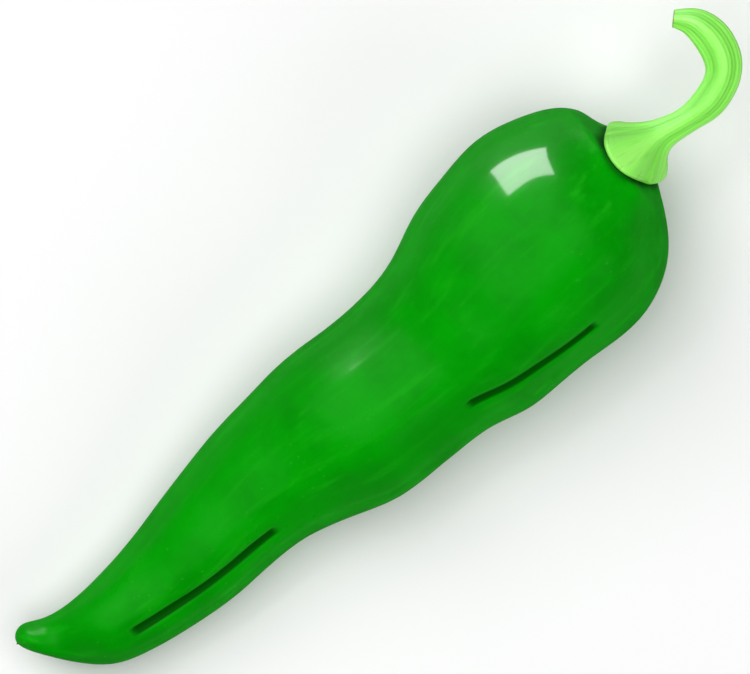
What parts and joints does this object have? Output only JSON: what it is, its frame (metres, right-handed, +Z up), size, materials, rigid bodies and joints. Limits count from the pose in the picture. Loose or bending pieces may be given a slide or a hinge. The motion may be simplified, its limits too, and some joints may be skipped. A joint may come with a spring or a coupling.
{
  "type": "chilli pepper",
  "caption": "Long green chilli pepper as picked, lying on its side: a tapering wavy pod with a curled tip, and a pale green calyx and hooked stem.",
  "frame": {"origin": "under the middle of the bounding box, on the surface that the pepper lies on", "axes": "+X from the pod's tip to its stem, +Y towards the side that the stem hooks to, +Z up"},
  "size_m": [0.1883, 0.0488, 0.0397],
  "materials": {
    "pod_skin": "gloss",
    "stem_skin": "satin"
  },
  "bodies": {
    "root": {"pod": "pod_skin", "stem": "stem_skin"}
  },
  "joints": []
}
